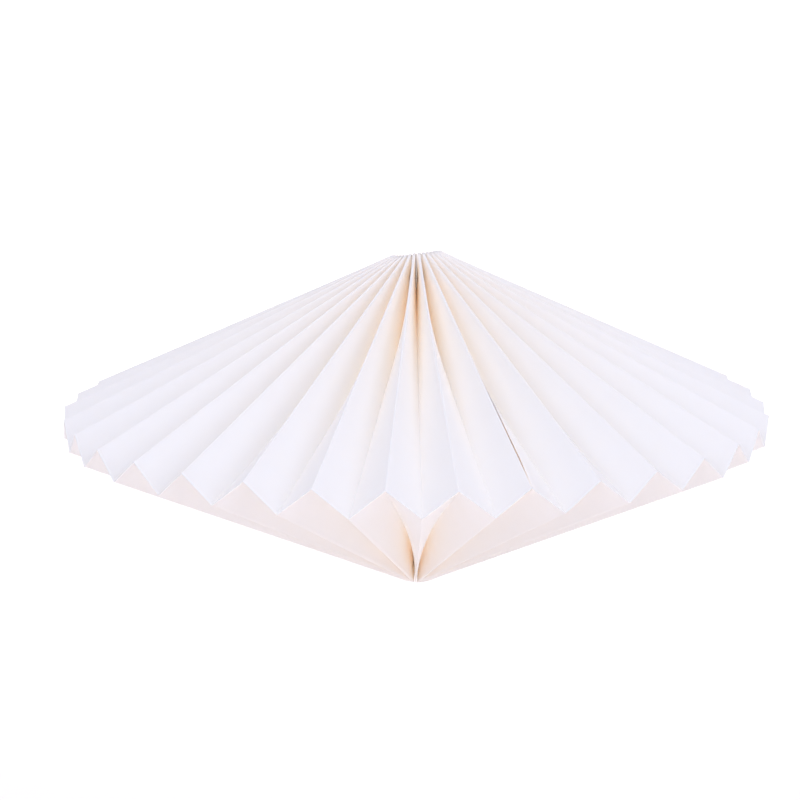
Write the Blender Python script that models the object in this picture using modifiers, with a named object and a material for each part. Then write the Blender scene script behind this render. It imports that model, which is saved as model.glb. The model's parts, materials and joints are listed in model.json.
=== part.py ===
"""Pleated paper lantern: a double cone folded from one strip of paper.

The strip is creased into 35 pleats and wrapped into a ring. A zigzag crease round the rim turns
every ridge of the upper cone into a hollow of the lower one. A drawstring gathers each end.

The origin is at the hanging point, the middle of the crown's top. +Z is up and the lantern hangs
below. The seam is at the front, right of the -Y direction. Lengths are in metres.
"""

import math

import bmesh
import bpy
from mathutils import Vector

# Overall sizes: the crown and the foot are measured from the middle of the rim's zigzag
RIM_RADIUS = 0.200
CROWN_HEIGHT = 0.092
FOOT_DEPTH = 0.1005

# The folded strip
PLEATS = 35
GORES = 7
PANEL_WIDTH = 0.0218
RIM_ZIGZAG = 0.0139
PAPER = 0.00022
FOLD_WIDTH_AT_RIM = 0.0005

# How tightly each end is gathered: the radius of the hollow folds' ends, and of the ridges' ends.
# The crown is left open enough for a lamp cord. The foot is drawn nearly to a point.
GATHERED_RADIUS = 0.0045
CROWN_RIDGE_RADIUS = 0.0135
FOOT_RIDGE_RADIUS = 0.0070

# Drawstrings, their punched holes and knots
HOLE_SETBACK = 0.0075
HOLE_RADIUS = 0.0014
STRING_RADIUS = 0.00035
LEG_SPREAD = 0.0006
LEG_SIDESTEP = 0.0002
LEG_LENGTH = 0.0150
KNOT_RADIUS = 0.0016
TAIL_LENGTH = 0.0050
TAIL_SLOPE = math.radians(35)

# The glued seam
TAPE = 0.0001
FLAP_EDGES = (0.20, 0.72)
TAPE_EDGES = (0.25, 0.67)

# Clearances
GAP = 0.0003
CREASE_GAP = 0.0009

# Mesh fineness: the rows of faces from a gathered end to the rim, and the rows with a seam behind
ROWS = 6
ROW_GROWTH = 1.5
SEAM_ROWS = (1, 5)
HOLE_SIDES = 6

# Worked out from the sizes above
FOLDS = 2 * PLEATS
FOLDS_PER_GORE = FOLDS // GORES
FOLD_STEP = math.tau / FOLDS
FIRST_FOLD = math.radians(0.87)
SEAM_FOLD = 3
UPPER = 1
LOWER = -1
CONE_HEIGHT = {UPPER: CROWN_HEIGHT, LOWER: FOOT_DEPTH}
RIDGE_END = {UPPER: CROWN_RIDGE_RADIUS, LOWER: FOOT_RIDGE_RADIUS}

PAPER_WHITE = (0.93, 0.92, 0.90)
STRING_WHITE = (0.88, 0.86, 0.80)
TAPE_CREAM = (0.86, 0.80, 0.66)


def start_clean():
    """Removes what the scene holds."""
    for thing in list(bpy.data.objects):
        bpy.data.objects.remove(thing, do_unlink=True)


def new_collection(name):
    group = bpy.data.collections.new(name)
    bpy.context.scene.collection.children.link(group)
    return group


def finish_of(name, colour, roughness):
    """A material of its own for one piece."""
    material = bpy.data.materials.new(name)
    material.use_nodes = True
    shader = material.node_tree.nodes["Principled BSDF"]
    shader.inputs["Base Color"].default_value = (*colour, 1)
    shader.inputs["Roughness"].default_value = roughness
    shader.inputs["Metallic"].default_value = 0.0
    return material


def add_piece(name, data, parent, colour, roughness):
    """One named piece of the lantern, on the half that carries it."""
    piece = bpy.data.objects.new(name, data)
    piece.data.materials.append(finish_of(name, colour, roughness))
    piece.parent = parent
    LANTERN.objects.link(piece)
    return piece


def hide_guide(guide, parent):
    """A cutter or a shape to join, left out of the lantern itself."""
    for group in list(guide.users_collection):
        group.objects.unlink(guide)
    GUIDES.objects.link(guide)
    guide.parent = parent
    guide.hide_render = True
    guide.display_type = "WIRE"


# ---------------------------------------------------------------- the folded surface


def fold_angle(fold):
    return FIRST_FOLD + fold * FOLD_STEP


def is_ridge(fold, half):
    """Odd folds are ridges of the upper cone and hollows of the lower one."""
    return (fold % 2 == 1) == (half == UPPER)


def gathered_end(ridge, half):
    """Radius and distance from the rim's middle of a fold's end, at the paper's cut edge."""
    if ridge:
        return RIDGE_END[half], CONE_HEIGHT[half]
    spread = RIDGE_END[half] - GATHERED_RADIUS
    return GATHERED_RADIUS, CONE_HEIGHT[half] - math.sqrt(PANEL_WIDTH**2 - spread**2)


def on_circle(angle, radius, height, sideways=0.0):
    """A point at an angle from the front, moved sideways along the tangent."""
    out = Vector((math.sin(angle), -math.cos(angle), 0))
    along = Vector((math.cos(angle), math.sin(angle), 0))
    return out * radius + along * sideways + Vector((0, 0, height))


def fold_point(half, fold, side, share):
    """A point on one edge of a fold, from its gathered end at share 0 to the rim at share 1."""
    end_radius, end_height = gathered_end(is_ridge(fold, half), half)
    rim_height = RIM_ZIGZAG / 2 if fold % 2 == 1 else -RIM_ZIGZAG / 2
    end_width = math.pi * end_radius / PLEATS
    radius = end_radius + (RIM_RADIUS - end_radius) * share
    height = half * end_height + (rim_height - half * end_height) * share
    width = end_width + (FOLD_WIDTH_AT_RIM - end_width) * share
    return on_circle(fold_angle(fold), radius, height, side * width / 2)


def fold_length(half, fold):
    return (fold_point(half, fold, 1, 1) - fold_point(half, fold, 1, 0)).length


def panel_point(half, fold, across, share, inwards=0.0):
    """A point on the panel that follows a fold, moved off the paper towards the inside."""

    def on_panel(a, s):
        return fold_point(half, fold, 1, s).lerp(fold_point(half, fold + 1, -1, s), a)

    point = on_panel(across, share)
    if not inwards:
        return point
    width_way = on_panel(1, share) - on_panel(0, share)
    length_way = on_panel(across, 1) - on_panel(across, 0)
    return point + width_way.cross(length_way).normalized() * half * inwards


def folded_grid(half, columns, first_row, last_row, place):
    """A flat grid whose points are moved to place(column, share of the way to the rim).

    Each twisted face is split along the diagonal that bulges away from the seam's inner layers.
    """
    rows = last_row - first_row
    diagonal = "FIXED" if half == UPPER else "ALTERNATE"
    grid = bmesh.new()
    bmesh.ops.create_grid(grid, x_segments=columns, y_segments=rows, size=0.5)
    for corner in grid.verts:
        column = round((corner.co.x + 0.5) * columns)
        row = first_row + round((corner.co.y + 0.5) * rows)
        corner.co = place(column, (row / ROWS) ** ROW_GROWTH)
    bmesh.ops.triangulate(grid, faces=grid.faces, quad_method=diagonal)
    mesh = bpy.data.meshes.new("folded")
    grid.to_mesh(mesh)
    grid.free()
    return mesh


def give_thickness(piece, thickness):
    solid = piece.modifiers.new("thickness", "SOLIDIFY")
    solid.thickness = thickness
    solid.offset = 0
    solid.use_even_offset = True


# ---------------------------------------------------------------- the paper


def make_gore(number, half, parent, punch):
    """Ten panels of the strip on one side of the rim crease, each with the fold that ends it."""
    first = SEAM_FOLD + number * FOLDS_PER_GORE

    def place(column, share):
        fold = first + (column + 1) // 2
        side = 1 if column % 2 == 0 else -1
        reach = share
        if half == LOWER:
            reach *= 1 - CREASE_GAP / fold_length(half, fold)
        point = fold_point(half, fold, side, reach)
        if column == 0:
            width_way = fold_point(half, fold + 1, -1, reach) - point
            point += width_way.normalized() * (PAPER + GAP)
        return point

    name = ("upper_gore_" if half == UPPER else "lower_gore_") + str(number + 1)
    sheet = folded_grid(half, 2 * FOLDS_PER_GORE, 0, ROWS, place)
    gore = add_piece(name, sheet, parent, PAPER_WHITE, 0.8)
    give_thickness(gore, PAPER)
    holes = gore.modifiers.new("string holes", "BOOLEAN")
    holes.operation = "DIFFERENCE"
    holes.solver = "EXACT"
    holes.object = punch


def hole_circle(half):
    """Radius and height of the circle that runs through the middle of every string hole."""
    middle = Vector((0, 0, 0))
    for fold in (0, 1):
        end = fold_point(half, fold, 0, 0)
        along = (fold_point(half, fold, 0, 1) - end).normalized()
        hole = end + along * HOLE_SETBACK
        middle += Vector((math.hypot(hole.x, hole.y), 0, hole.z)) / 2
    return middle.x, middle.z


def make_punch(half, parent):
    """A ring that cuts the row of string holes through the panels."""
    radius, height = hole_circle(half)
    bpy.ops.mesh.primitive_torus_add(
        location=(0, 0, height),
        rotation=(0, 0, FIRST_FOLD),
        major_segments=FOLDS,
        minor_segments=HOLE_SIDES,
        major_radius=radius,
        minor_radius=HOLE_RADIUS,
    )
    punch = bpy.context.object
    punch.name = "hole_punch"
    hide_guide(punch, parent)
    return punch


# ---------------------------------------------------------------- the seam


def make_seam_layer(name, half, parent, edges, inwards, thickness, colour):
    """A flat layer behind the panel that follows the seam fold."""

    def place(column, share):
        return panel_point(half, SEAM_FOLD, edges[column], share, inwards)

    sheet = folded_grid(half, 1, *SEAM_ROWS, place)
    layer = add_piece(name, sheet, parent, colour, 0.7)
    give_thickness(layer, thickness)


def make_seam(word, half, parent):
    tape_depth = PAPER / 2 + GAP + TAPE / 2
    flap_depth = PAPER + 2 * GAP + TAPE
    make_seam_layer("seam_tape_" + word, half, parent, TAPE_EDGES, tape_depth, TAPE, TAPE_CREAM)
    make_seam_layer("seam_flap_" + word, half, parent, FLAP_EDGES, flap_depth, PAPER, PAPER_WHITE)


# ---------------------------------------------------------------- the drawstrings


def make_string(name, half, parent):
    """A ring of string through the holes, with two legs that lead to the knot inside.

    The legs stand a little to the side where the twisted panels leave the wider space.
    """
    radius, height = hole_circle(half)
    back = PLEATS if half == UPPER else PLEATS + 1
    knot_end = height - half * LEG_LENGTH
    aside = half * LEG_SIDESTEP
    route = [on_circle(fold_angle(back), radius - LEG_SPREAD, knot_end, aside)]
    route.append(on_circle(fold_angle(back), radius - LEG_SPREAD, height, aside))
    for pleat in range(1, PLEATS):
        route.append(on_circle(fold_angle(back + 2 * pleat), radius, height))
    route.append(on_circle(fold_angle(back), radius + LEG_SPREAD, height, aside))
    route.append(on_circle(fold_angle(back), radius + LEG_SPREAD, knot_end, aside))

    curve = bpy.data.curves.new(name, "CURVE")
    curve.dimensions = "3D"
    curve.bevel_depth = STRING_RADIUS
    curve.bevel_resolution = 2
    curve.use_fill_caps = True
    spline = curve.splines.new("POLY")
    spline.points.add(len(route) - 1)
    for point, place in zip(spline.points, route):
        point.co = (*place, 1)
    add_piece(name, curve, parent, STRING_WHITE, 0.9)


def make_knot(name, half, parent):
    """The knot that ties the two legs, with its two trimmed ends."""
    radius, height = hole_circle(half)
    back = PLEATS if half == UPPER else PLEATS + 1
    angle = fold_angle(back)
    knot_height = height - half * (LEG_LENGTH + GAP + KNOT_RADIUS)
    centre = on_circle(angle, radius, knot_height, half * LEG_SIDESTEP)

    ball = bmesh.new()
    bmesh.ops.create_uvsphere(ball, u_segments=12, v_segments=8, radius=KNOT_RADIUS)
    bmesh.ops.translate(ball, verts=ball.verts, vec=centre)
    mesh = bpy.data.meshes.new(name)
    ball.to_mesh(mesh)
    ball.free()
    mesh.shade_smooth()
    knot = add_piece(name, mesh, parent, STRING_WHITE, 0.9)

    for side in (-1, 1):
        along = on_circle(angle, 0, 0, side)
        way = along * math.cos(TAIL_SLOPE) - Vector((0, 0, math.sin(TAIL_SLOPE))) * half
        reach = KNOT_RADIUS / 2 + TAIL_LENGTH
        bpy.ops.mesh.primitive_cylinder_add(
            vertices=8,
            radius=STRING_RADIUS,
            depth=reach,
            location=centre + way * (reach / 2 + KNOT_RADIUS / 2),
            rotation=way.to_track_quat("Z", "Y").to_euler(),
        )
        tail = bpy.context.object
        tail.name = name + "_tail"
        hide_guide(tail, parent)
        joined = knot.modifiers.new("tail", "BOOLEAN")
        joined.operation = "UNION"
        joined.solver = "EXACT"
        joined.object = tail


# ---------------------------------------------------------------- the lantern


def make_half(word, end_word, half):
    """One cone with its seam, drawstring and knot, hung on an empty on the lantern's axis."""
    middle = bpy.data.objects.new(word + "_half", None)
    middle.location = (0, 0, -CROWN_HEIGHT)
    LANTERN.objects.link(middle)
    punch = make_punch(half, middle)
    for number in range(GORES):
        make_gore(number, half, middle, punch)
    make_seam(word, half, middle)
    make_string(end_word + "_drawstring", half, middle)
    make_knot(end_word + "_knot", half, middle)


start_clean()
LANTERN = new_collection("paper_lantern")
GUIDES = new_collection("guides")
make_half("upper", "crown", UPPER)
make_half("lower", "foot", LOWER)
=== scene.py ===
# %% [markdown]
# # A pleated paper lantern
# The lantern is one strip of white paper. It is scored into 35 upright pleats with a zigzag crease
# along its middle, wrapped into a ring, glued at one seam and gathered at both ends by a string.
# The zigzag is what gives the rim its saw teeth: it swaps ridges for hollows, so the upper cone and
# the lower cone lean back towards each other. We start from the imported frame, which fixes every
# size.

# %% Load the frame
import json
import math

import bmesh
import bpy
from mathutils import Matrix, Vector, noise


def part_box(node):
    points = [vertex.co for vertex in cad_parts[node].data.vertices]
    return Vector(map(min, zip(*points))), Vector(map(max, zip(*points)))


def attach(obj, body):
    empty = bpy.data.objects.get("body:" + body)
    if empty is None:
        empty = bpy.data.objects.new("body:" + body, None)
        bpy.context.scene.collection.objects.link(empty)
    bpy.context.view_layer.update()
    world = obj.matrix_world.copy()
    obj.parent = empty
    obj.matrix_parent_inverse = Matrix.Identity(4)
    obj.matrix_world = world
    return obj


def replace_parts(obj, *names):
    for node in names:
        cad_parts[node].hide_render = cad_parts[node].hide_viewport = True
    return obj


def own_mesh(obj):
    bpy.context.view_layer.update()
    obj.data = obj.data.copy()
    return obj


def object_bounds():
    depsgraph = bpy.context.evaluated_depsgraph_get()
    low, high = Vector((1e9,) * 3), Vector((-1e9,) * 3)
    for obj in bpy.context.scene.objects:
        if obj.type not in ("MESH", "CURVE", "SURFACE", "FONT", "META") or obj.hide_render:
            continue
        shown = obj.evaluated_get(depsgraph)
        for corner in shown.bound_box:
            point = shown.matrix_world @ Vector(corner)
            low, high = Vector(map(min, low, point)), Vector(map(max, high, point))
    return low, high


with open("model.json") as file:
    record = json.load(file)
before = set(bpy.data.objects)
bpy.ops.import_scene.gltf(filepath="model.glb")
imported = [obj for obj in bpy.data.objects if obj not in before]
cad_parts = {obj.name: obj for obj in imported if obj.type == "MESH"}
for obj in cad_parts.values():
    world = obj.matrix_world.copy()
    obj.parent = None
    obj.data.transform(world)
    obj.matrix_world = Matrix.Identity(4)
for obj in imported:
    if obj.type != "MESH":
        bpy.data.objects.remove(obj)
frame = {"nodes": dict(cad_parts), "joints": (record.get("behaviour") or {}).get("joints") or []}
cad_low, cad_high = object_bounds()
print("frame nodes:", len(frame["nodes"]), "box", tuple(cad_low), tuple(cad_high))

# %% [markdown]
# ## Measures from the frame
# The rim's radius and the two ends are read off the frame's nodes, so the finished paper lands
# exactly where the solid one is. Only what the frame can't say is stated here: how many pleats
# there are and how wide each scored panel is.

# %% Sizes, in metres
PLEATS = 35
FOLDS = 2 * PLEATS
PANEL_WIDTH = 0.0218
GATHERED_RADIUS = 0.0045
PAPER = 0.00022
FLAP_WIDTH = 0.60
FOLD_WIDTH_AT_RIM = 0.0005
FIRST_FOLD = math.radians(0.87)
FOLD_STEP = math.tau / FOLDS
SEAM_FOLD = 3
HOLE_SETBACK = 0.0075
UPPER, LOWER = 1, -1
RIDGE_END = {UPPER: 0.0135, LOWER: 0.0070}

upper_low, upper_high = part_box("upper_gore_1")
lower_low, lower_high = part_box("lower_gore_1")
RIM_RADIUS = (cad_high.x - cad_low.x) / 2
RIM_MIDDLE = (upper_low.z + lower_high.z) / 2
ZIGZAG = lower_high.z - upper_low.z
CONE_HEIGHT = {UPPER: upper_high.z - RIM_MIDDLE, LOWER: RIM_MIDDLE - lower_low.z}
print("rim radius %.4f, crown %.4f above it, foot %.4f below" % (
    RIM_RADIUS, CONE_HEIGHT[UPPER], CONE_HEIGHT[LOWER]))

# %% [markdown]
# ## Camera
# The camera stands a little over a metre away and looks down at about thirteen degrees through a
# short telephoto lens. That is why the near half of the zigzag hangs below the far half.

# %% Camera
CAMERA_DISTANCE = 1.124
CAMERA_ELEVATION = math.radians(12.96)
CAMERA_ROLL = math.radians(-0.25)
FOCAL_LENGTH_MM = 87.6
SENSOR_MM = 36
LENS_SHIFT = (-0.0194, 0.0152)
NEAREST_SEEN = 0.01

lens = bpy.data.cameras.new("camera")
lens.lens = FOCAL_LENGTH_MM
lens.sensor_width = SENSOR_MM
lens.shift_x, lens.shift_y = LENS_SHIFT
lens.clip_start = NEAREST_SEEN
camera = bpy.data.objects.new("camera", lens)
bpy.context.scene.collection.objects.link(camera)
target = Vector((0, 0, RIM_MIDDLE))
away = Vector((0, -math.cos(CAMERA_ELEVATION), math.sin(CAMERA_ELEVATION)))
turn = away.to_track_quat("Z", "Y").to_matrix() @ Matrix.Rotation(CAMERA_ROLL, 3, "Z")
camera.matrix_world = Matrix.Translation(target + away * CAMERA_DISTANCE) @ turn.to_4x4()
bpy.context.scene.camera = camera
print("camera at", tuple(round(value, 3) for value in camera.matrix_world.translation))

# %% [markdown]
# ## Small helpers
# Every piece below ends the same way: a bmesh becomes an object at the origin, rides on a body of
# the frame and names the material slot that it belongs to.

# %% Helpers for pieces
def as_object(name, shape, material):
    """Turns a bmesh into an object with one material."""
    mesh = bpy.data.meshes.new(name)
    shape.to_mesh(mesh)
    shape.free()
    mesh.materials.append(material)
    piece = bpy.data.objects.new(name, mesh)
    bpy.context.scene.collection.objects.link(piece)
    return piece


def bake_modifiers(piece):
    """Replaces a piece's mesh by what its modifiers make of it."""
    graph = bpy.context.evaluated_depsgraph_get()
    mesh = bpy.data.meshes.new_from_object(piece.evaluated_get(graph), depsgraph=graph)
    piece.modifiers.clear()
    piece.data = mesh


def thicken(piece, thickness):
    """Gives a sheet of faces its thickness, half of it to each side."""
    solid = piece.modifiers.new("thickness", "SOLIDIFY")
    solid.thickness = thickness
    solid.offset = 0
    bake_modifiers(piece)


def on_circle(angle, radius, height, sideways=0.0):
    """A point at an angle from the front, moved sideways along the tangent."""
    out = Vector((math.sin(angle), -math.cos(angle), 0))
    along = Vector((math.cos(angle), math.sin(angle), 0))
    return out * radius + along * sideways + Vector((0, 0, height))


# %% [markdown]
# ## Shader maths
# A wrapped socket lets the material recipes below read like arithmetic: adding or multiplying two
# of them makes the Math node for us.

# %% A socket that does arithmetic
class Value:
    """One output socket of a material, usable in Python expressions."""

    def __init__(self, recipe, socket):
        self.recipe = recipe
        self.socket = socket

    def _math(self, operation, *others):
        return self.recipe.node("ShaderNodeMath", {"operation": operation}, (self, *others))

    def __add__(self, other):
        return self._math("ADD", other)

    def __mul__(self, other):
        return self._math("MULTIPLY", other)

    def __abs__(self):
        return self._math("ABSOLUTE")

    __radd__ = __add__
    __rmul__ = __mul__


class Recipe:
    """A new material whose nodes are added one call at a time."""

    def __init__(self, name):
        self.material = bpy.data.materials.new(name)
        self.material.use_nodes = True
        self.nodes = self.material.node_tree.nodes
        self.links = self.material.node_tree.links
        self.shader = self.nodes["Principled BSDF"]

    def put(self, value, socket):
        """Sets a socket to a number, a colour or a wrapped socket."""
        if isinstance(value, Value):
            self.links.new(value.socket, socket)
        else:
            socket.default_value = value

    def node(self, kind, settings=None, inputs=(), output=0):
        """Adds any node: its settings first, then its sockets by place or by name."""
        made = self.nodes.new(kind)
        for key, value in (settings or {}).items():
            setattr(made, key, value)
        pairs = inputs.items() if isinstance(inputs, dict) else enumerate(inputs)
        for key, value in pairs:
            self.put(value, made.inputs[key])
        return Value(self, made.outputs[output])

    def blend(self, factor, first, second):
        """Mixes two colours. The Mix node's colour sockets have the numbers 6 and 7."""
        inputs = {"Factor": factor, 6: first, 7: second}
        return self.node("ShaderNodeMix", {"data_type": "RGBA"}, inputs, output=2)

    def finish(self, **sockets):
        """Fills the shader's own sockets; underscores stand for spaces in their names."""
        for name, value in sockets.items():
            self.put(value, self.shader.inputs[name.replace("_", " ")])
        return self.material


# %% [markdown]
# ## The paper
# The sheet is a warm white, uncoated stock. One bounce of cool studio light leaves it neutral, but
# light that bounces many times in a tight hollow picks up the paper's own warmth, so the deep folds
# turn cream by themselves. On top of that come a cloudy formation, short fibres and a whiter line
# along the zigzag: a painted highlight on the crease's crest, which also stands for fibres that
# folding has cracked open. The pattern is laid on the flat sheet's own coordinates, in metres, so
# it folds with the paper.

# %% Paper material
WARM_PAPER = (0.994, 0.940, 0.860, 1)
PALE_PAPER = (1.0, 0.969, 0.912, 1)
# The zigzag crease's colour: a painted highlight on its crest, whiter than the paper, which also
# stands for cracked fibres.
CRACK_AND_HIGHLIGHT_PAPER = (1.0, 0.98, 0.92, 1)


def make_paper():
    recipe = Recipe("folded_paper")
    flat = recipe.node("ShaderNodeUVMap", {"uv_map": "flat_sheet"})
    cloud = recipe.node("ShaderNodeTexNoise", {}, {"Vector": flat, "Scale": 90.0, "Detail": 3.0})
    grain_way = recipe.node(
        "ShaderNodeMapping", {}, {"Vector": flat, "Scale": (2600.0, 700.0, 1.0)}
    )
    fibre = recipe.node(
        "ShaderNodeTexNoise", {}, {"Vector": grain_way, "Scale": 1.0, "Detail": 4.0}
    )
    speck = recipe.node("ShaderNodeTexNoise", {}, {"Vector": flat, "Scale": 1500.0, "Detail": 2.0})
    tone = cloud * 0.6 + fibre * 0.4
    colour = recipe.blend(tone, WARM_PAPER, PALE_PAPER)
    from_zigzag = abs(recipe.node("ShaderNodeSeparateXYZ", {}, (flat,), output=1))
    # Painted highlight: the paper turns whiter within about a millimetre of the zigzag crease,
    # which also stands for cracked fibres.
    crack_and_highlight_mask = recipe.node(
        "ShaderNodeMapRange",
        {},
        {
            "Value": from_zigzag,
            "From Min": 0.0002, "From Max": 0.0009,
            "To Min": 1.0, "To Max": 0.0,
        },
    )
    with_crease_highlight = recipe.blend(crack_and_highlight_mask, colour, CRACK_AND_HIGHLIGHT_PAPER)
    relief = recipe.node(
        "ShaderNodeBump",
        {},
        {"Height": fibre * 0.7 + speck * 0.3, "Strength": 0.25, "Distance": 0.00006},
    )
    return recipe.finish(
        Base_Color=with_crease_highlight,
        Roughness=0.82 + 0.1 * speck,
        Normal=relief,
        Subsurface_Weight=0.35,
        Subsurface_Radius=(1.0, 0.85, 0.7),
        Subsurface_Scale=0.0012,
        Specular_IOR_Level=0.25,
    )


paper_material = make_paper()
print("paper material:", len(paper_material.node_tree.nodes), "nodes")

# %% [markdown]
# ## Where the folds run
# Each fold runs straight from a gathered end to a tooth of the rim. At the gathered end the panels
# stand side by side like closed curtains, so a fold is half a pleat wide there; at the rim it is a
# sharp crease. A hand-made lantern is never perfect: the teeth wander by a fraction of a millimetre
# and the tied crown sits a little askew. The wander is a smooth noise, so neighbours stay in line.

# %% Fold lines
RIM_WANDER = 0.0007
END_WANDER = 0.0006
RIM_LIVELINESS = 9
END_LIVELINESS = 1.6
DRIFT_GAIN = 1.6
LEAN = {UPPER: Vector((0.11, -0.17)), LOWER: Vector((-0.10, 0.0))}
SIDESTEP = {UPPER: 0.0007, LOWER: -0.0004}


def fold_angle(fold):
    return FIRST_FOLD + fold * FOLD_STEP


def drift(fold, seed, liveliness):
    """A smooth random number from -1 to 1 that comes back to itself round the ring."""
    angle = fold_angle(fold)
    spot = Vector((math.cos(angle) * liveliness, math.sin(angle) * liveliness, seed))
    return noise.noise(spot) * DRIFT_GAIN


def is_ridge(fold, half):
    """Odd folds are ridges of the upper cone and hollows of the lower one."""
    return (fold % 2 == 1) == (half == UPPER)


def ridge_slope(half):
    return math.atan2(CONE_HEIGHT[half] - ZIGZAG / 2, RIM_RADIUS - RIDGE_END[half])


SLOPE = {UPPER: ridge_slope(UPPER), LOWER: ridge_slope(LOWER)}


def gathered_end(fold, half):
    """Radius and height of a fold's end, at the paper's cut edge."""
    if is_ridge(fold, half):
        return RIDGE_END[half], RIM_MIDDLE + half * CONE_HEIGHT[half]
    drop = math.sqrt(PANEL_WIDTH ** 2 - (RIDGE_END[half] - GATHERED_RADIUS) ** 2)
    return GATHERED_RADIUS, RIM_MIDDLE + half * (CONE_HEIGHT[half] - drop)


def fold_ends(half, fold, side):
    """The two ends of one edge of a fold: at the gathered end and at the rim."""
    radius, height = gathered_end(fold, half)
    end = on_circle(fold_angle(fold), radius, height, side * math.pi * radius / PLEATS / 2)
    end.z += end.xy.dot(LEAN[half]) + END_WANDER * drift(fold, 5.5 * half, END_LIVELINESS)
    end.x += SIDESTEP[half]
    tooth = ZIGZAG / 2 if fold % 2 == 1 else -ZIGZAG / 2
    rim = on_circle(
        fold_angle(fold),
        RIM_RADIUS + RIM_WANDER * drift(fold, 1.5, RIM_LIVELINESS),
        RIM_MIDDLE + tooth + RIM_WANDER * drift(fold, 2.5, RIM_LIVELINESS),
        side * FOLD_WIDTH_AT_RIM / 2 + RIM_WANDER * drift(fold, 3.5, RIM_LIVELINESS),
    )
    return end, rim


print("ridges slope at %.1f and %.1f degrees" % (
    math.degrees(SLOPE[UPPER]), math.degrees(SLOPE[LOWER])))

# %% [markdown]
# ## From a flat sheet to a folded one
# The honest way to make folded paper is to fold paper. We draw the strip flat with one grid, write
# its flat place into a UV map, and only then move every point to where the folds carry it. Columns
# are close together at the scores and rows are close together at the zigzag, because that is where
# the paper bends.

# %% Columns and rows of the flat sheet
PANEL_STATIONS = (0.0, 0.06, 0.30, 0.70, 0.94)
FOLD_STATIONS = (0.0, 0.33, 0.67)
FLAP_STATIONS = (0.0, 0.06, 0.30, FLAP_WIDTH)
CREASE_ROWS = (0.0, 0.0003, 0.0006, 0.0010, 0.0016, 0.0026, 0.0050, 0.0090)
LONG_ROWS = 24
LONG_GROWTH = 1.25
LONG_REACH = 0.945


def sheet_columns():
    """(panel, share across it, share across the fold after it) for each column of the grid."""
    columns = []
    for panel in range(FOLDS):
        columns += [(panel, across, None) for across in PANEL_STATIONS]
        columns += [(panel, 1.0, across) for across in FOLD_STATIONS]
    columns += [(FOLDS, across, None) for across in FLAP_STATIONS]
    return columns


def sheet_rows():
    """(half, distance from the zigzag crease or share along the panel) for each row."""
    rows = []
    for step in range(LONG_ROWS):
        rows.append((UPPER, "share", (step / LONG_ROWS) ** LONG_GROWTH * LONG_REACH))
    rows += [(UPPER, "crease", distance) for distance in reversed(CREASE_ROWS)]
    lower = [(LOWER, "crease", distance) for distance in CREASE_ROWS[1:]]
    lower += [(LOWER, "share", share) for half, kind, share in reversed(rows) if kind == "share"]
    return rows + lower


COLUMNS = sheet_columns()
ROWS = sheet_rows()
print("the flat sheet has", len(COLUMNS), "columns and", len(ROWS), "rows")

# %% [markdown]
# ## Bending one panel
# A panel is nearly flat near the rim and stands on edge at the gathered end, so it twists along its
# length. Real paper also bows a little between its scores, differently on each panel. The zigzag
# crease has a small radius and a pinched lip, left by the fingers that folded it.

# %% A point of the folded sheet
BOW = 0.0003
BOW_GAIN = 1.5
CREASE_RADIUS = 0.0009
LIP = 0.0007
LIP_WIDTH = 0.0016
FOLD_BULGE = 0.30
NARROWING = 1.2
SEAM_SETBACK = 0.0006
SETBACK_WHEN_SHUT = 0.3
SEAM_LIFT = 0.0003
OVERLAP_LIFT = 0.00026
OVERLAP_WIDTH = 0.13
FLAP_DEPTH = 0.00036
FLAP_STEP_WIDTH = 0.06
FLAP_BOW = 0.0003
FLAP_BOW_WIDTH = 0.45
SLIT_FOOT, SLIT_RAMP = 0.22, 0.70
SLIT_TOP, SLIT_CLOSING = 0.999, 0.012
LOOK_AHEAD = 0.01
NEAR_RIM = 0.99
WAY_TO_RIM = 0.9
FOLD_ENDS = {
    (half, fold, side): fold_ends(half, fold, side)
    for half in (UPPER, LOWER) for fold in range(FOLDS) for side in (-1, 0, 1)
}


def slit(half, share):
    """How far the upper seam has sprung open: shut at the crown, widest just above the rim."""
    if half == LOWER:
        return 0.0
    opening = min(max((share - SLIT_FOOT) / SLIT_RAMP, 0.0), 1.0)
    return opening * min(max((SLIT_TOP - share) / SLIT_CLOSING, 0.0), 1.0)


def fold_edge(half, fold, side, share):
    """One edge of a fold. The rounded band narrows quickly as the panels open."""
    end, rim = FOLD_ENDS[half, fold % FOLDS, side]
    across = on_circle(fold_angle(fold), 0, 0, side)
    extra = ((end - rim).dot(across)) * (1 - share) * (1 - (1 - min(share, 1.0)) ** NARROWING)
    return end.lerp(rim, share) - across * extra


def panel_edges(half, panel, share):
    """The two edges of a panel at a share of the way to the rim."""
    return (
        fold_edge(half, SEAM_FOLD + panel, 1, share),
        fold_edge(half, SEAM_FOLD + panel + 1, -1, share),
    )


def outwards(half, panel, across, share):
    """The unit direction out of the lantern, square to a panel."""
    left, right = panel_edges(half, panel, share)
    left_out, right_out = panel_edges(half, panel, share + LOOK_AHEAD)
    along = left_out.lerp(right_out, across) - left.lerp(right, across)
    return along.cross(right - left).normalized() * half


def bow(half, panel, across, share):
    """How far a panel's middle stands off the straight line between its scores."""
    size = noise.noise(Vector((panel % FOLDS * 7.3, half * 3.1, share * 1.3))) * BOW_GAIN
    return BOW * size * math.sin(math.pi * across) * math.sin(math.pi * min(share, 1.0)) ** 0.5


def off_paper(half, panel, across, share):
    """The distance that a point stands proud of the plain panel."""
    height = bow(half, panel, across, share) if 0 < share < 1 else 0.0
    open_now = slit(half, share)
    if panel == 0:
        height += SEAM_LIFT * open_now * (1 - across) ** 3
        height += OVERLAP_LIFT * max(0.0, 1 - across / OVERLAP_WIDTH)
    if panel == FOLDS:
        near_fold = math.sin(math.pi * min(across / FLAP_BOW_WIDTH, 1.0))
        height -= FLAP_DEPTH * min(across / FLAP_STEP_WIDTH, 1.0)
        height -= FLAP_BOW * near_fold * open_now
    return height


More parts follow.
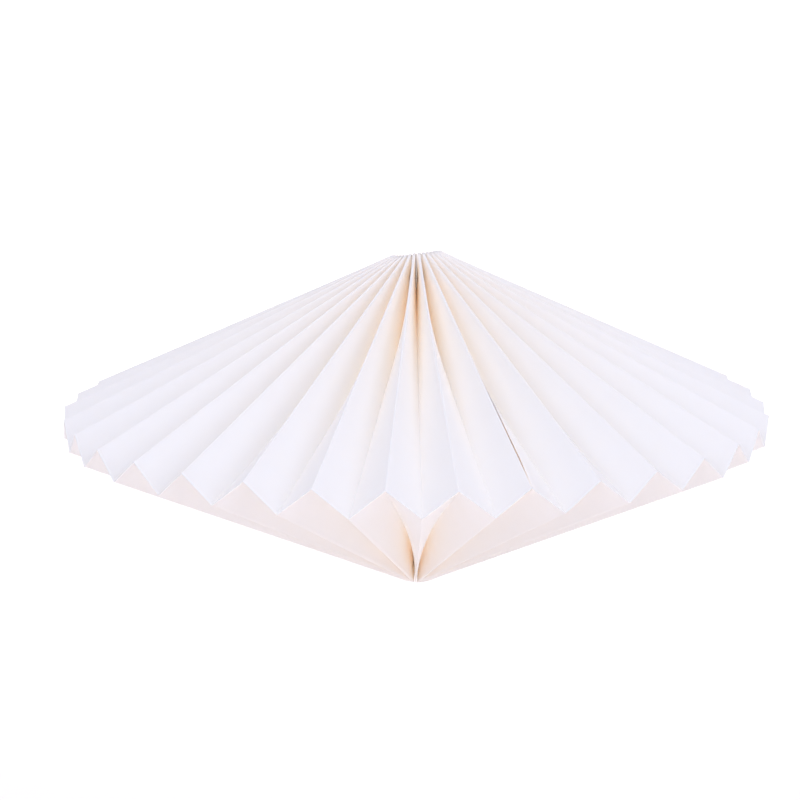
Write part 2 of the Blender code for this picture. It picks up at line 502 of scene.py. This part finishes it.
def on_panel(half, panel, across, share):
    """A point on a panel. Panel 70 is the glue flap, which lies behind panel 0."""
    left, right = panel_edges(half, panel % FOLDS, share)
    if panel == 0:
        setback = SEAM_SETBACK * (SETBACK_WHEN_SHUT + slit(half, share)) * (1 - across)
        left = left + (right - left).normalized() * setback
    return left.lerp(right, across)


def on_fold(half, fold, across, share):
    """A point on the rounded band of a fold."""
    left, right = fold_edge(half, fold, -1, share), fold_edge(half, fold, 1, share)
    out = on_circle(fold_angle(fold), math.sin(SLOPE[half]), half * math.cos(SLOPE[half]))
    way = 1 if is_ridge(fold, half) else -1
    bulge = (right - left).length * FOLD_BULGE * math.sin(math.pi * across)
    return left.lerp(right, across) + out * way * bulge


def place(half, column, share):
    """Where the folds carry one column of the sheet at a share of the way to the rim."""
    panel, across, over_fold = column
    if over_fold is not None:
        return on_fold(half, SEAM_FOLD + panel + 1, over_fold, share)
    point = on_panel(half, panel, across, share)
    height = off_paper(half, panel, across, share)
    if height:
        point = point + outwards(half, panel % FOLDS, across, min(share, NEAR_RIM)) * height
    return point


def corner_point(column):
    """Where a column crosses the zigzag. A layer off the paper turns inside or outside of it."""
    panel, across, over_fold = column
    if over_fold is not None:
        return (place(UPPER, column, 1.0) + place(LOWER, column, 1.0)) / 2
    out_up = outwards(UPPER, panel % FOLDS, across, NEAR_RIM)
    out_down = outwards(LOWER, panel % FOLDS, across, NEAR_RIM)
    height = off_paper(UPPER, panel, across, 1.0)
    return on_panel(UPPER, panel, across, 1.0) + (out_up + out_down) * height / (
        1 + out_up.dot(out_down)
    )


def crease_point(half, column, distance):
    """A point near the zigzag: the corner is rounded, with a pinched lip outside it."""
    corner = corner_point(column)
    up_way = (place(UPPER, column, WAY_TO_RIM) - corner).normalized()
    down_way = (place(LOWER, column, WAY_TO_RIM) - corner).normalized()
    if distance >= CREASE_RADIUS:
        point = corner + (up_way if half == UPPER else down_way) * distance
    else:
        turn = (1 - half * distance / CREASE_RADIUS) / 2
        point = corner + (up_way * (1 - turn) ** 2 + down_way * turn ** 2) * CREASE_RADIUS
    lip = LIP * max(0.0, 1 - distance / LIP_WIDTH) ** 2
    return point - (up_way + down_way).normalized() * lip


# %% [markdown]
# ## Folding the whole sheet
# One create_grid call makes the flat strip. The flat place of each corner goes into the UV map
# before the point is moved. The strip is as wide as an upper fold and the lower fold that goes on
# from it, so its cut size follows from the folded shape.

# %% Fold it
def fold_lengths(half):
    ends = [FOLD_ENDS[half, fold, 1] for fold in range(FOLDS)]
    return [(rim - end).length for end, rim in ends]


FOLD_SCORE = 0.02
FOLD_LENGTH = {half: sum(fold_lengths(half)) / FOLDS for half in (UPPER, LOWER)}
STRIP_WIDTH = FOLD_LENGTH[UPPER] + FOLD_LENGTH[LOWER]
STRIP_LENGTH = (FOLDS + FLAP_WIDTH) * PANEL_WIDTH
print("cut size of the strip: %.3f m by %.3f m" % (STRIP_WIDTH, STRIP_LENGTH))


def flat_place(column, row):
    """Where a corner of the grid lies on the flat sheet, in metres."""
    panel, across, over_fold = column
    half, kind, amount = row
    from_crease = amount if kind == "crease" else FOLD_LENGTH[half] * (1 - amount)
    along = panel + (across if over_fold is None else 1 - FOLD_SCORE + FOLD_SCORE * over_fold)
    return along * PANEL_WIDTH, half * from_crease


def make_sheet():
    strip = bmesh.new()
    flat = strip.loops.layers.uv.new("flat_sheet")
    across_last, along_last = len(COLUMNS) - 1, len(ROWS) - 1
    bmesh.ops.create_grid(strip, x_segments=across_last, y_segments=along_last, size=0.5)
    index_of = {}
    for corner in strip.verts:
        column = round((corner.co.x + 0.5) * across_last)
        row = round((0.5 - corner.co.y) * along_last)
        index_of[corner] = (column, row)
    for face in strip.faces:
        for loop in face.loops:
            column, row = index_of[loop.vert]
            loop[flat].uv = flat_place(COLUMNS[column], ROWS[row])
        face.smooth = True
    for corner, (column, row) in index_of.items():
        half, kind, amount = ROWS[row]
        if kind == "crease":
            corner.co = crease_point(half, COLUMNS[column], amount)
        else:
            corner.co = place(half, COLUMNS[column], amount)
    return as_object("paper_sheet", strip, paper_material)


paper = make_sheet()
thicken(paper, PAPER)
print("folded sheet:", len(paper.data.polygons), "faces")

# %% [markdown]
# ## The punched holes
# Each panel has a small round hole near each end, punched before folding. In the folded lantern the
# holes of all seventy panels stand in a ring, so one torus cuts them all in a single Boolean, the
# way one long needle would find them.

# %% Punch the string holes
HOLE_RADIUS = 0.0014
HOLE_SIDES = 12
NEEDLE_STEPS = 3 * FOLDS


def hole_middles(half):
    """The middle of each panel's string hole."""
    middles = []
    share = HOLE_SETBACK / FOLD_LENGTH[half]
    for panel in range(FOLDS):
        left, right = panel_edges(half, panel, share)
        middles.append(left.lerp(right, 0.5))
    return middles


def string_plane(half):
    """Middle, radius and tilt of the ring that runs through the holes of one end."""
    holes = hole_middles(half)
    middle = sum(holes, Vector()) / FOLDS
    radius = sum((hole - middle).xy.length for hole in holes) / FOLDS
    tilt_x = 2 * sum(hole.z * (hole.x - middle.x) for hole in holes) / FOLDS / radius ** 2
    tilt_y = 2 * sum(hole.z * (hole.y - middle.y) for hole in holes) / FOLDS / radius ** 2
    up = Vector((-tilt_x, -tilt_y, 1)).normalized()
    return middle, radius, Vector((0, 0, 1)).rotation_difference(up).to_matrix()


def punch(piece, half):
    middle, radius, tilt = string_plane(half)
    ring = bmesh.new()
    bmesh.ops.create_circle(ring, segments=HOLE_SIDES, radius=HOLE_RADIUS)
    bmesh.ops.rotate(ring, verts=ring.verts, matrix=Matrix.Rotation(math.pi / 2, 3, "X"))
    bmesh.ops.translate(ring, verts=ring.verts, vec=(radius, 0, 0))
    bmesh.ops.spin(
        ring, geom=ring.verts[:] + ring.edges[:], cent=(0, 0, 0), axis=(0, 0, 1),
        angle=math.tau, steps=NEEDLE_STEPS, use_merge=True,
    )
    bmesh.ops.rotate(ring, verts=ring.verts, matrix=tilt)
    bmesh.ops.translate(ring, verts=ring.verts, vec=middle)
    bmesh.ops.recalc_face_normals(ring, faces=ring.faces)
    cutter = as_object("needle_ring", ring, paper_material)
    holes = piece.modifiers.new("holes", "BOOLEAN")
    holes.operation = "DIFFERENCE"
    holes.object = cutter
    bake_modifiers(piece)
    bpy.data.objects.remove(cutter)
    print("string ring at height %.4f, radius %.4f" % (middle.z, radius))


punch(paper, UPPER)
punch(paper, LOWER)
print("punched sheet:", len(paper.data.polygons), "faces")

# %% [markdown]
# ## How the sheet rides on the frame
# On the real lantern every panel flexes when it is pressed flatter. Were the sheet to flatten
# evenly between its two tied rings, the rings would stay in their holes: that fixes how much height
# is kept, which is worked out here. The sheet itself rides on the upper half as it is.

# %% Ride on the upper half
squeeze = next(joint for joint in frame["joints"] if joint["name"] == "height_squeeze")
crown_ring = string_plane(UPPER)[0].z
foot_ring = string_plane(LOWER)[0].z
KEPT = 1 - max(squeeze["range_m"]) / (crown_ring - foot_ring)
GORES = [f"{half}_gore_{number}" for half in ("upper", "lower") for number in range(1, 8)]


def flatten_with_lantern(piece):
    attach(piece, "upper_half")
    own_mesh(piece)


flatten_with_lantern(paper)
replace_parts(paper, *GORES, "seam_flap_upper", "seam_flap_lower")
print("height kept when squeezed: %.2f" % KEPT)

# %% [markdown]
# ## Twisted cotton
# The drawstrings are thin two-ply cotton. Each ply is a strip of faces rolled into a tube along a
# path, with a slow turn, so the two plies wind round each other the way real ones do. The path is
# smoothed with a Catmull-Rom curve and then walked in even steps.

# %% String material and path tools
STRING_RADIUS = 0.00035
PLY_RADIUS = 0.00018
PLY_PITCH = 0.0018
STEP = 0.00022
DARK_COTTON = (0.80, 0.76, 0.68, 1)
PALE_COTTON = (0.94, 0.92, 0.87, 1)


def make_cotton():
    recipe = Recipe("twisted_cotton")
    lie = recipe.node("ShaderNodeUVMap", {"uv_map": "along_ply"})
    stretched = recipe.node("ShaderNodeMapping", {}, {"Vector": lie, "Scale": (9000.0, 900.0, 1.0)})
    fibre = recipe.node(
        "ShaderNodeTexNoise", {}, {"Vector": stretched, "Scale": 1.0, "Detail": 3.0}
    )
    colour = recipe.blend(fibre, DARK_COTTON, PALE_COTTON)
    relief = recipe.node(
        "ShaderNodeBump", {}, {"Height": fibre, "Strength": 0.6, "Distance": 0.00005}
    )
    return recipe.finish(
        Base_Color=colour, Roughness=0.9, Normal=relief, Sheen_Weight=0.3, Sheen_Roughness=0.5
    )


cotton = make_cotton()


def smooth_path(corners, step):
    """Even steps along a Catmull-Rom curve through the corners."""
    padded = [2 * corners[0] - corners[1], *corners, 2 * corners[-1] - corners[-2]]
    fine = []
    for a, b, c, d in zip(padded, padded[1:], padded[2:], padded[3:]):
        pieces = max(2, round((c - b).length / step))
        for number in range(pieces):
            t = number / pieces
            bend = (2 * a - 5 * b + 4 * c - d) * t ** 2 + (3 * b - a - 3 * c + d) * t ** 3
            fine.append((2 * b + (c - a) * t + bend) / 2)
    return fine + [corners[-1]]


def carried_frames(path):
    """A side direction at each point of a path, carried along without twisting."""
    sides = []
    side = (path[1] - path[0]).orthogonal().normalized()
    for before, after in zip(path, path[1:] + path[-1:]):
        way = after - before if after != before else way
        side = (side - way * side.dot(way) / way.dot(way)).normalized()
        sides.append((side, way.normalized().cross(side)))
    return sides


# %% One cord from two plies
PLY_SIDES = 6
PLY_GIRTH = 6 * PLY_RADIUS
PLY_CLOSENESS = 0.9


def add_ply(cord, path, phase):
    """Rolls a strip of faces into one ply that winds round the path."""
    flat = cord.loops.layers.uv.verify()
    sides = carried_frames(path)
    last = len(path) - 1
    made = bmesh.ops.create_grid(cord, x_segments=PLY_SIDES, y_segments=last, size=0.5)
    spots = {}
    for corner in made["verts"]:
        spots[corner] = (
            round((corner.co.x + 0.5) * PLY_SIDES), round((corner.co.y + 0.5) * last)
        )
    for face in {face for corner in spots for face in corner.link_faces}:
        face.smooth = True
        for loop in face.loops:
            around, along = spots[loop.vert]
            loop[flat].uv = (around / PLY_SIDES * PLY_GIRTH, along * STEP)
    for corner, (around, along) in spots.items():
        side, over = sides[along]
        wind = phase + math.tau * along * STEP / PLY_PITCH
        off_path = (side * math.cos(wind) + over * math.sin(wind)) * PLY_RADIUS * PLY_CLOSENESS
        middle = path[along] + off_path
        roll = wind + math.tau * around / PLY_SIDES
        corner.co = middle + (side * math.cos(roll) + over * math.sin(roll)) * PLY_RADIUS
    bmesh.ops.remove_doubles(cord, verts=list(spots), dist=1e-7)


def make_cord(name, corners):
    path = smooth_path(corners, STEP)
    cord = bmesh.new()
    cord.loops.layers.uv.new("along_ply")
    add_ply(cord, path, 0.0)
    add_ply(cord, path, math.pi)
    bmesh.ops.holes_fill(cord, edges=[edge for edge in cord.edges if edge.is_boundary])
    bmesh.ops.recalc_face_normals(cord, faces=cord.faces)
    length = sum((b - a).length for a, b in zip(path, path[1:]))
    print("%s: %.3f m of string, %d faces" % (name, length, len(cord.faces)))
    return as_object(name, cord, cotton)


# %% [markdown]
# ## Drawstrings and their knots
# One string runs through all seventy holes of an end. Its two ends turn inwards through the open
# back of a pleat and meet in a reef knot: two half knots on top of each other, each of which winds
# the two ends one and a half times round one another. The trimmed tails stand out to the sides.

# %% Tie the two drawstrings
LEG_SPREAD = 0.0006
LEG_LENGTH = 0.0150
KNOT_HALF_WIDTH = 0.0013
TAIL_LENGTH = 0.0050
TAIL_SLOPE = math.radians(35)
WINDING_STEPS = 12
WINDING_HALF_TURNS = 3
WINDING_RADIUS = 1.08 * STRING_RADIUS
LEG_DEPTHS = (0.0025, 0.0060, 0.0110)
INTO_KNOT = Vector((-0.0007, -0.0004, LEG_LENGTH - 0.0012))
FIRST_KNOT_DEPTH = LEG_LENGTH + 0.0010
SECOND_KNOT_DEPTH = LEG_LENGTH + 0.0028
OUT_OF_KNOT = Vector((-KNOT_HALF_WIDTH - 0.0004, 0, LEG_LENGTH + 0.0033))
TAIL_REACHES = (0.0004, 0.0020, TAIL_LENGTH)
CROWN_BACK_FOLD = SEAM_FOLD + 32
FOOT_BACK_FOLD = SEAM_FOLD + 33


def half_knot(start_side, depth):
    """One end's way through a half knot, as (along, out, depth) steps beside the knot's middle."""
    steps = []
    for number in range(WINDING_STEPS + 1):
        share = number / WINDING_STEPS
        turn = math.pi * (0.5 - start_side * WINDING_HALF_TURNS * share)
        along = start_side * KNOT_HALF_WIDTH * (1 - 2 * share)
        out, down = WINDING_RADIUS * math.cos(turn), WINDING_RADIUS * math.sin(turn)
        steps.append((along, out, depth - down))
    return steps


def end_of_string(side):
    """A leg, its two half knots and its tail. The other end is the same turned half round."""
    knot = half_knot(-1, FIRST_KNOT_DEPTH) + half_knot(1, SECOND_KNOT_DEPTH)
    tail = Vector((-math.cos(TAIL_SLOPE), 0, math.sin(TAIL_SLOPE)))
    steps = [Vector((0, -LEG_SPREAD, depth)) for depth in LEG_DEPTHS] + [INTO_KNOT]
    steps += [Vector(step) for step in knot]
    steps += [OUT_OF_KNOT + tail * reach for reach in TAIL_REACHES]
    return [Vector((side * step.x, side * step.y, step.z)) for step in steps]


def make_drawstring(name, half, back_fold):
    middle, radius, tilt = string_plane(half)
    back = fold_angle(back_fold)
    start = middle + tilt @ on_circle(back, radius, 0)
    along, out = on_circle(back, 0, 0, 1), on_circle(back, 1, 0)

    def beside(step):
        return start + along * step.x + out * step.y - Vector((0, 0, half * step.z))

    first_end = [beside(step) for step in reversed(end_of_string(1))]
    last_end = [beside(step) for step in end_of_string(-1)]
    ring = []
    for pleat in range(1, FOLDS):
        step_out = LEG_SPREAD * (pleat / PLEATS - 1)
        ring.append(middle + tilt @ on_circle(back + pleat * FOLD_STEP, radius + step_out, 0))
    return make_cord(name, first_end + ring + last_end)


crown_string = make_drawstring("crown_string", UPPER, CROWN_BACK_FOLD)
foot_string = make_drawstring("foot_string", LOWER, FOOT_BACK_FOLD)
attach(crown_string, "upper_half")
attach(foot_string, "lower_half")
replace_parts(crown_string, "crown_drawstring", "crown_knot")
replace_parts(foot_string, "foot_drawstring", "foot_knot")

# %% [markdown]
# ## Tape in the seam
# A length of thin cream tape holds the glue flap behind the first panel of each cone. It is folded
# by the same panel formula as the sheet, and lies just behind it.

# %% Lay the tape
TAPE = 0.00010
TAPE_DEPTH = 0.00018
TAPE_ACROSS = (0.25, 0.55)
TAPE_SHARES = (0.03, 0.93)
TAPE_GRID = (4, 24)
DARK_TAPE = (0.80, 0.73, 0.58, 1)
PALE_TAPE = (0.90, 0.85, 0.72, 1)


def make_tape_finish():
    recipe = Recipe("double_sided_tape")
    spot = recipe.node("ShaderNodeTexCoord", output=3)
    crumple = recipe.node("ShaderNodeTexNoise", {}, {"Vector": spot, "Scale": 700.0, "Detail": 2.0})
    colour = recipe.blend(crumple, DARK_TAPE, PALE_TAPE)
    return recipe.finish(Base_Color=colour, Roughness=0.30 + 0.25 * crumple)


tape_finish = make_tape_finish()


def make_tape(name, half):
    strip = bmesh.new()
    bmesh.ops.create_grid(strip, x_segments=TAPE_GRID[0], y_segments=TAPE_GRID[1], size=0.5)
    for corner in strip.verts:
        across = TAPE_ACROSS[0] + (corner.co.x + 0.5) * (TAPE_ACROSS[1] - TAPE_ACROSS[0])
        share = TAPE_SHARES[0] + (corner.co.y + 0.5) * (TAPE_SHARES[1] - TAPE_SHARES[0])
        behind = off_paper(half, 0, across, share) - TAPE_DEPTH
        corner.co = on_panel(half, 0, across, share) + outwards(half, 0, across, share) * behind
    tape = as_object(name, strip, tape_finish)
    thicken(tape, TAPE)
    flatten_with_lantern(tape)
    return tape


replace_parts(make_tape("tape_upper", UPPER), "seam_tape_upper")
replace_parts(make_tape("tape_lower", LOWER), "seam_tape_lower")
print("tape laid in both cones")

# %% [markdown]
# ## Studio
# A plain white sweep stands well behind the lantern. A cool dome gives most of the light, which is
# what makes the lit faces read as lilac white, and two soft boxes in front, left and right of the
# camera, model the pleats. A fourth light reaches only the sweep and keeps it white. Light may
# bounce forty times between the pleats, which is what warms the deep hollows.

# %% Floor and lights
FLOOR_DROP = 0.8
SWEEP_SIZE = 12
SWEEP_BEND = 4
SWEEP_STEPS = 16
SWEEP_COLOUR = (0.90, 0.837, 0.800, 1)
SOFTBOX_COLOUR = (0.86, 0.88, 1.0)
WHITE = (1.0, 1.0, 1.0)
DOME_COLOUR = (0.845, 0.850, 0.978, 1)
DOME_STRENGTH = 0.90
BOUNCES = 40


def make_stage():
    recipe = Recipe("studio_white")
    white = recipe.finish(Base_Color=SWEEP_COLOUR, Roughness=0.9)
    sweep = bmesh.new()
    bmesh.ops.create_grid(sweep, x_segments=1, y_segments=1, size=SWEEP_SIZE)
    back = [edge for edge in sweep.edges if all(v.co.y > 0 for v in edge.verts)]
    grown = bmesh.ops.extrude_edge_only(sweep, edges=back)
    risen = [part for part in grown["geom"] if isinstance(part, bmesh.types.BMVert)]
    bmesh.ops.translate(sweep, verts=risen, vec=(0, 0, SWEEP_SIZE))
    bmesh.ops.bevel(
        sweep, geom=back, offset=SWEEP_BEND, segments=SWEEP_STEPS, profile=0.5,
        affect="EDGES", material=-1,
    )
    bmesh.ops.translate(sweep, verts=sweep.verts, vec=(0, 0, cad_low.z - FLOOR_DROP))
    stage = as_object("floor", sweep, white)
    for face in stage.data.polygons:
        face.use_smooth = True
    return stage


def add_softbox(name, position, aim, size, watts, colour):
    """A round area light that the camera doesn't see."""
    light = bpy.data.lights.new(name, "AREA")
    light.shape = "DISK"
    light.size = size
    light.energy = watts
    light.color = colour
    lamp = bpy.data.objects.new(name, light)
    lamp.location = position
    lamp.rotation_euler = (Vector(position) - Vector(aim)).to_track_quat("Z", "Y").to_euler()
    lamp.visible_camera = False
    bpy.context.scene.collection.objects.link(lamp)
    return lamp


sweep = make_stage()
add_softbox("left_softbox", (-1.0, -2.0, 1.0), target, 1.4, 12, SOFTBOX_COLOUR)
add_softbox("right_softbox", (1.6, -1.8, 1.0), target, 1.6, 15, SOFTBOX_COLOUR)
behind = add_softbox("background_light", (0, 6.5, 3.0), (0, 6.6, -1), 7, 300, WHITE)
only_sweep = bpy.data.collections.new("lit_by_background_light")
only_sweep.objects.link(sweep)
behind.light_linking.receiver_collection = only_sweep

world = bpy.data.worlds.new("studio_air")
world.use_nodes = True
dome = world.node_tree.nodes["Background"].inputs
dome["Color"].default_value = DOME_COLOUR
dome["Strength"].default_value = DOME_STRENGTH
bpy.context.scene.world = world
bpy.context.scene.view_settings.view_transform = "Standard"
bpy.context.scene.cycles.max_bounces = BOUNCES
bpy.context.scene.cycles.diffuse_bounces = BOUNCES
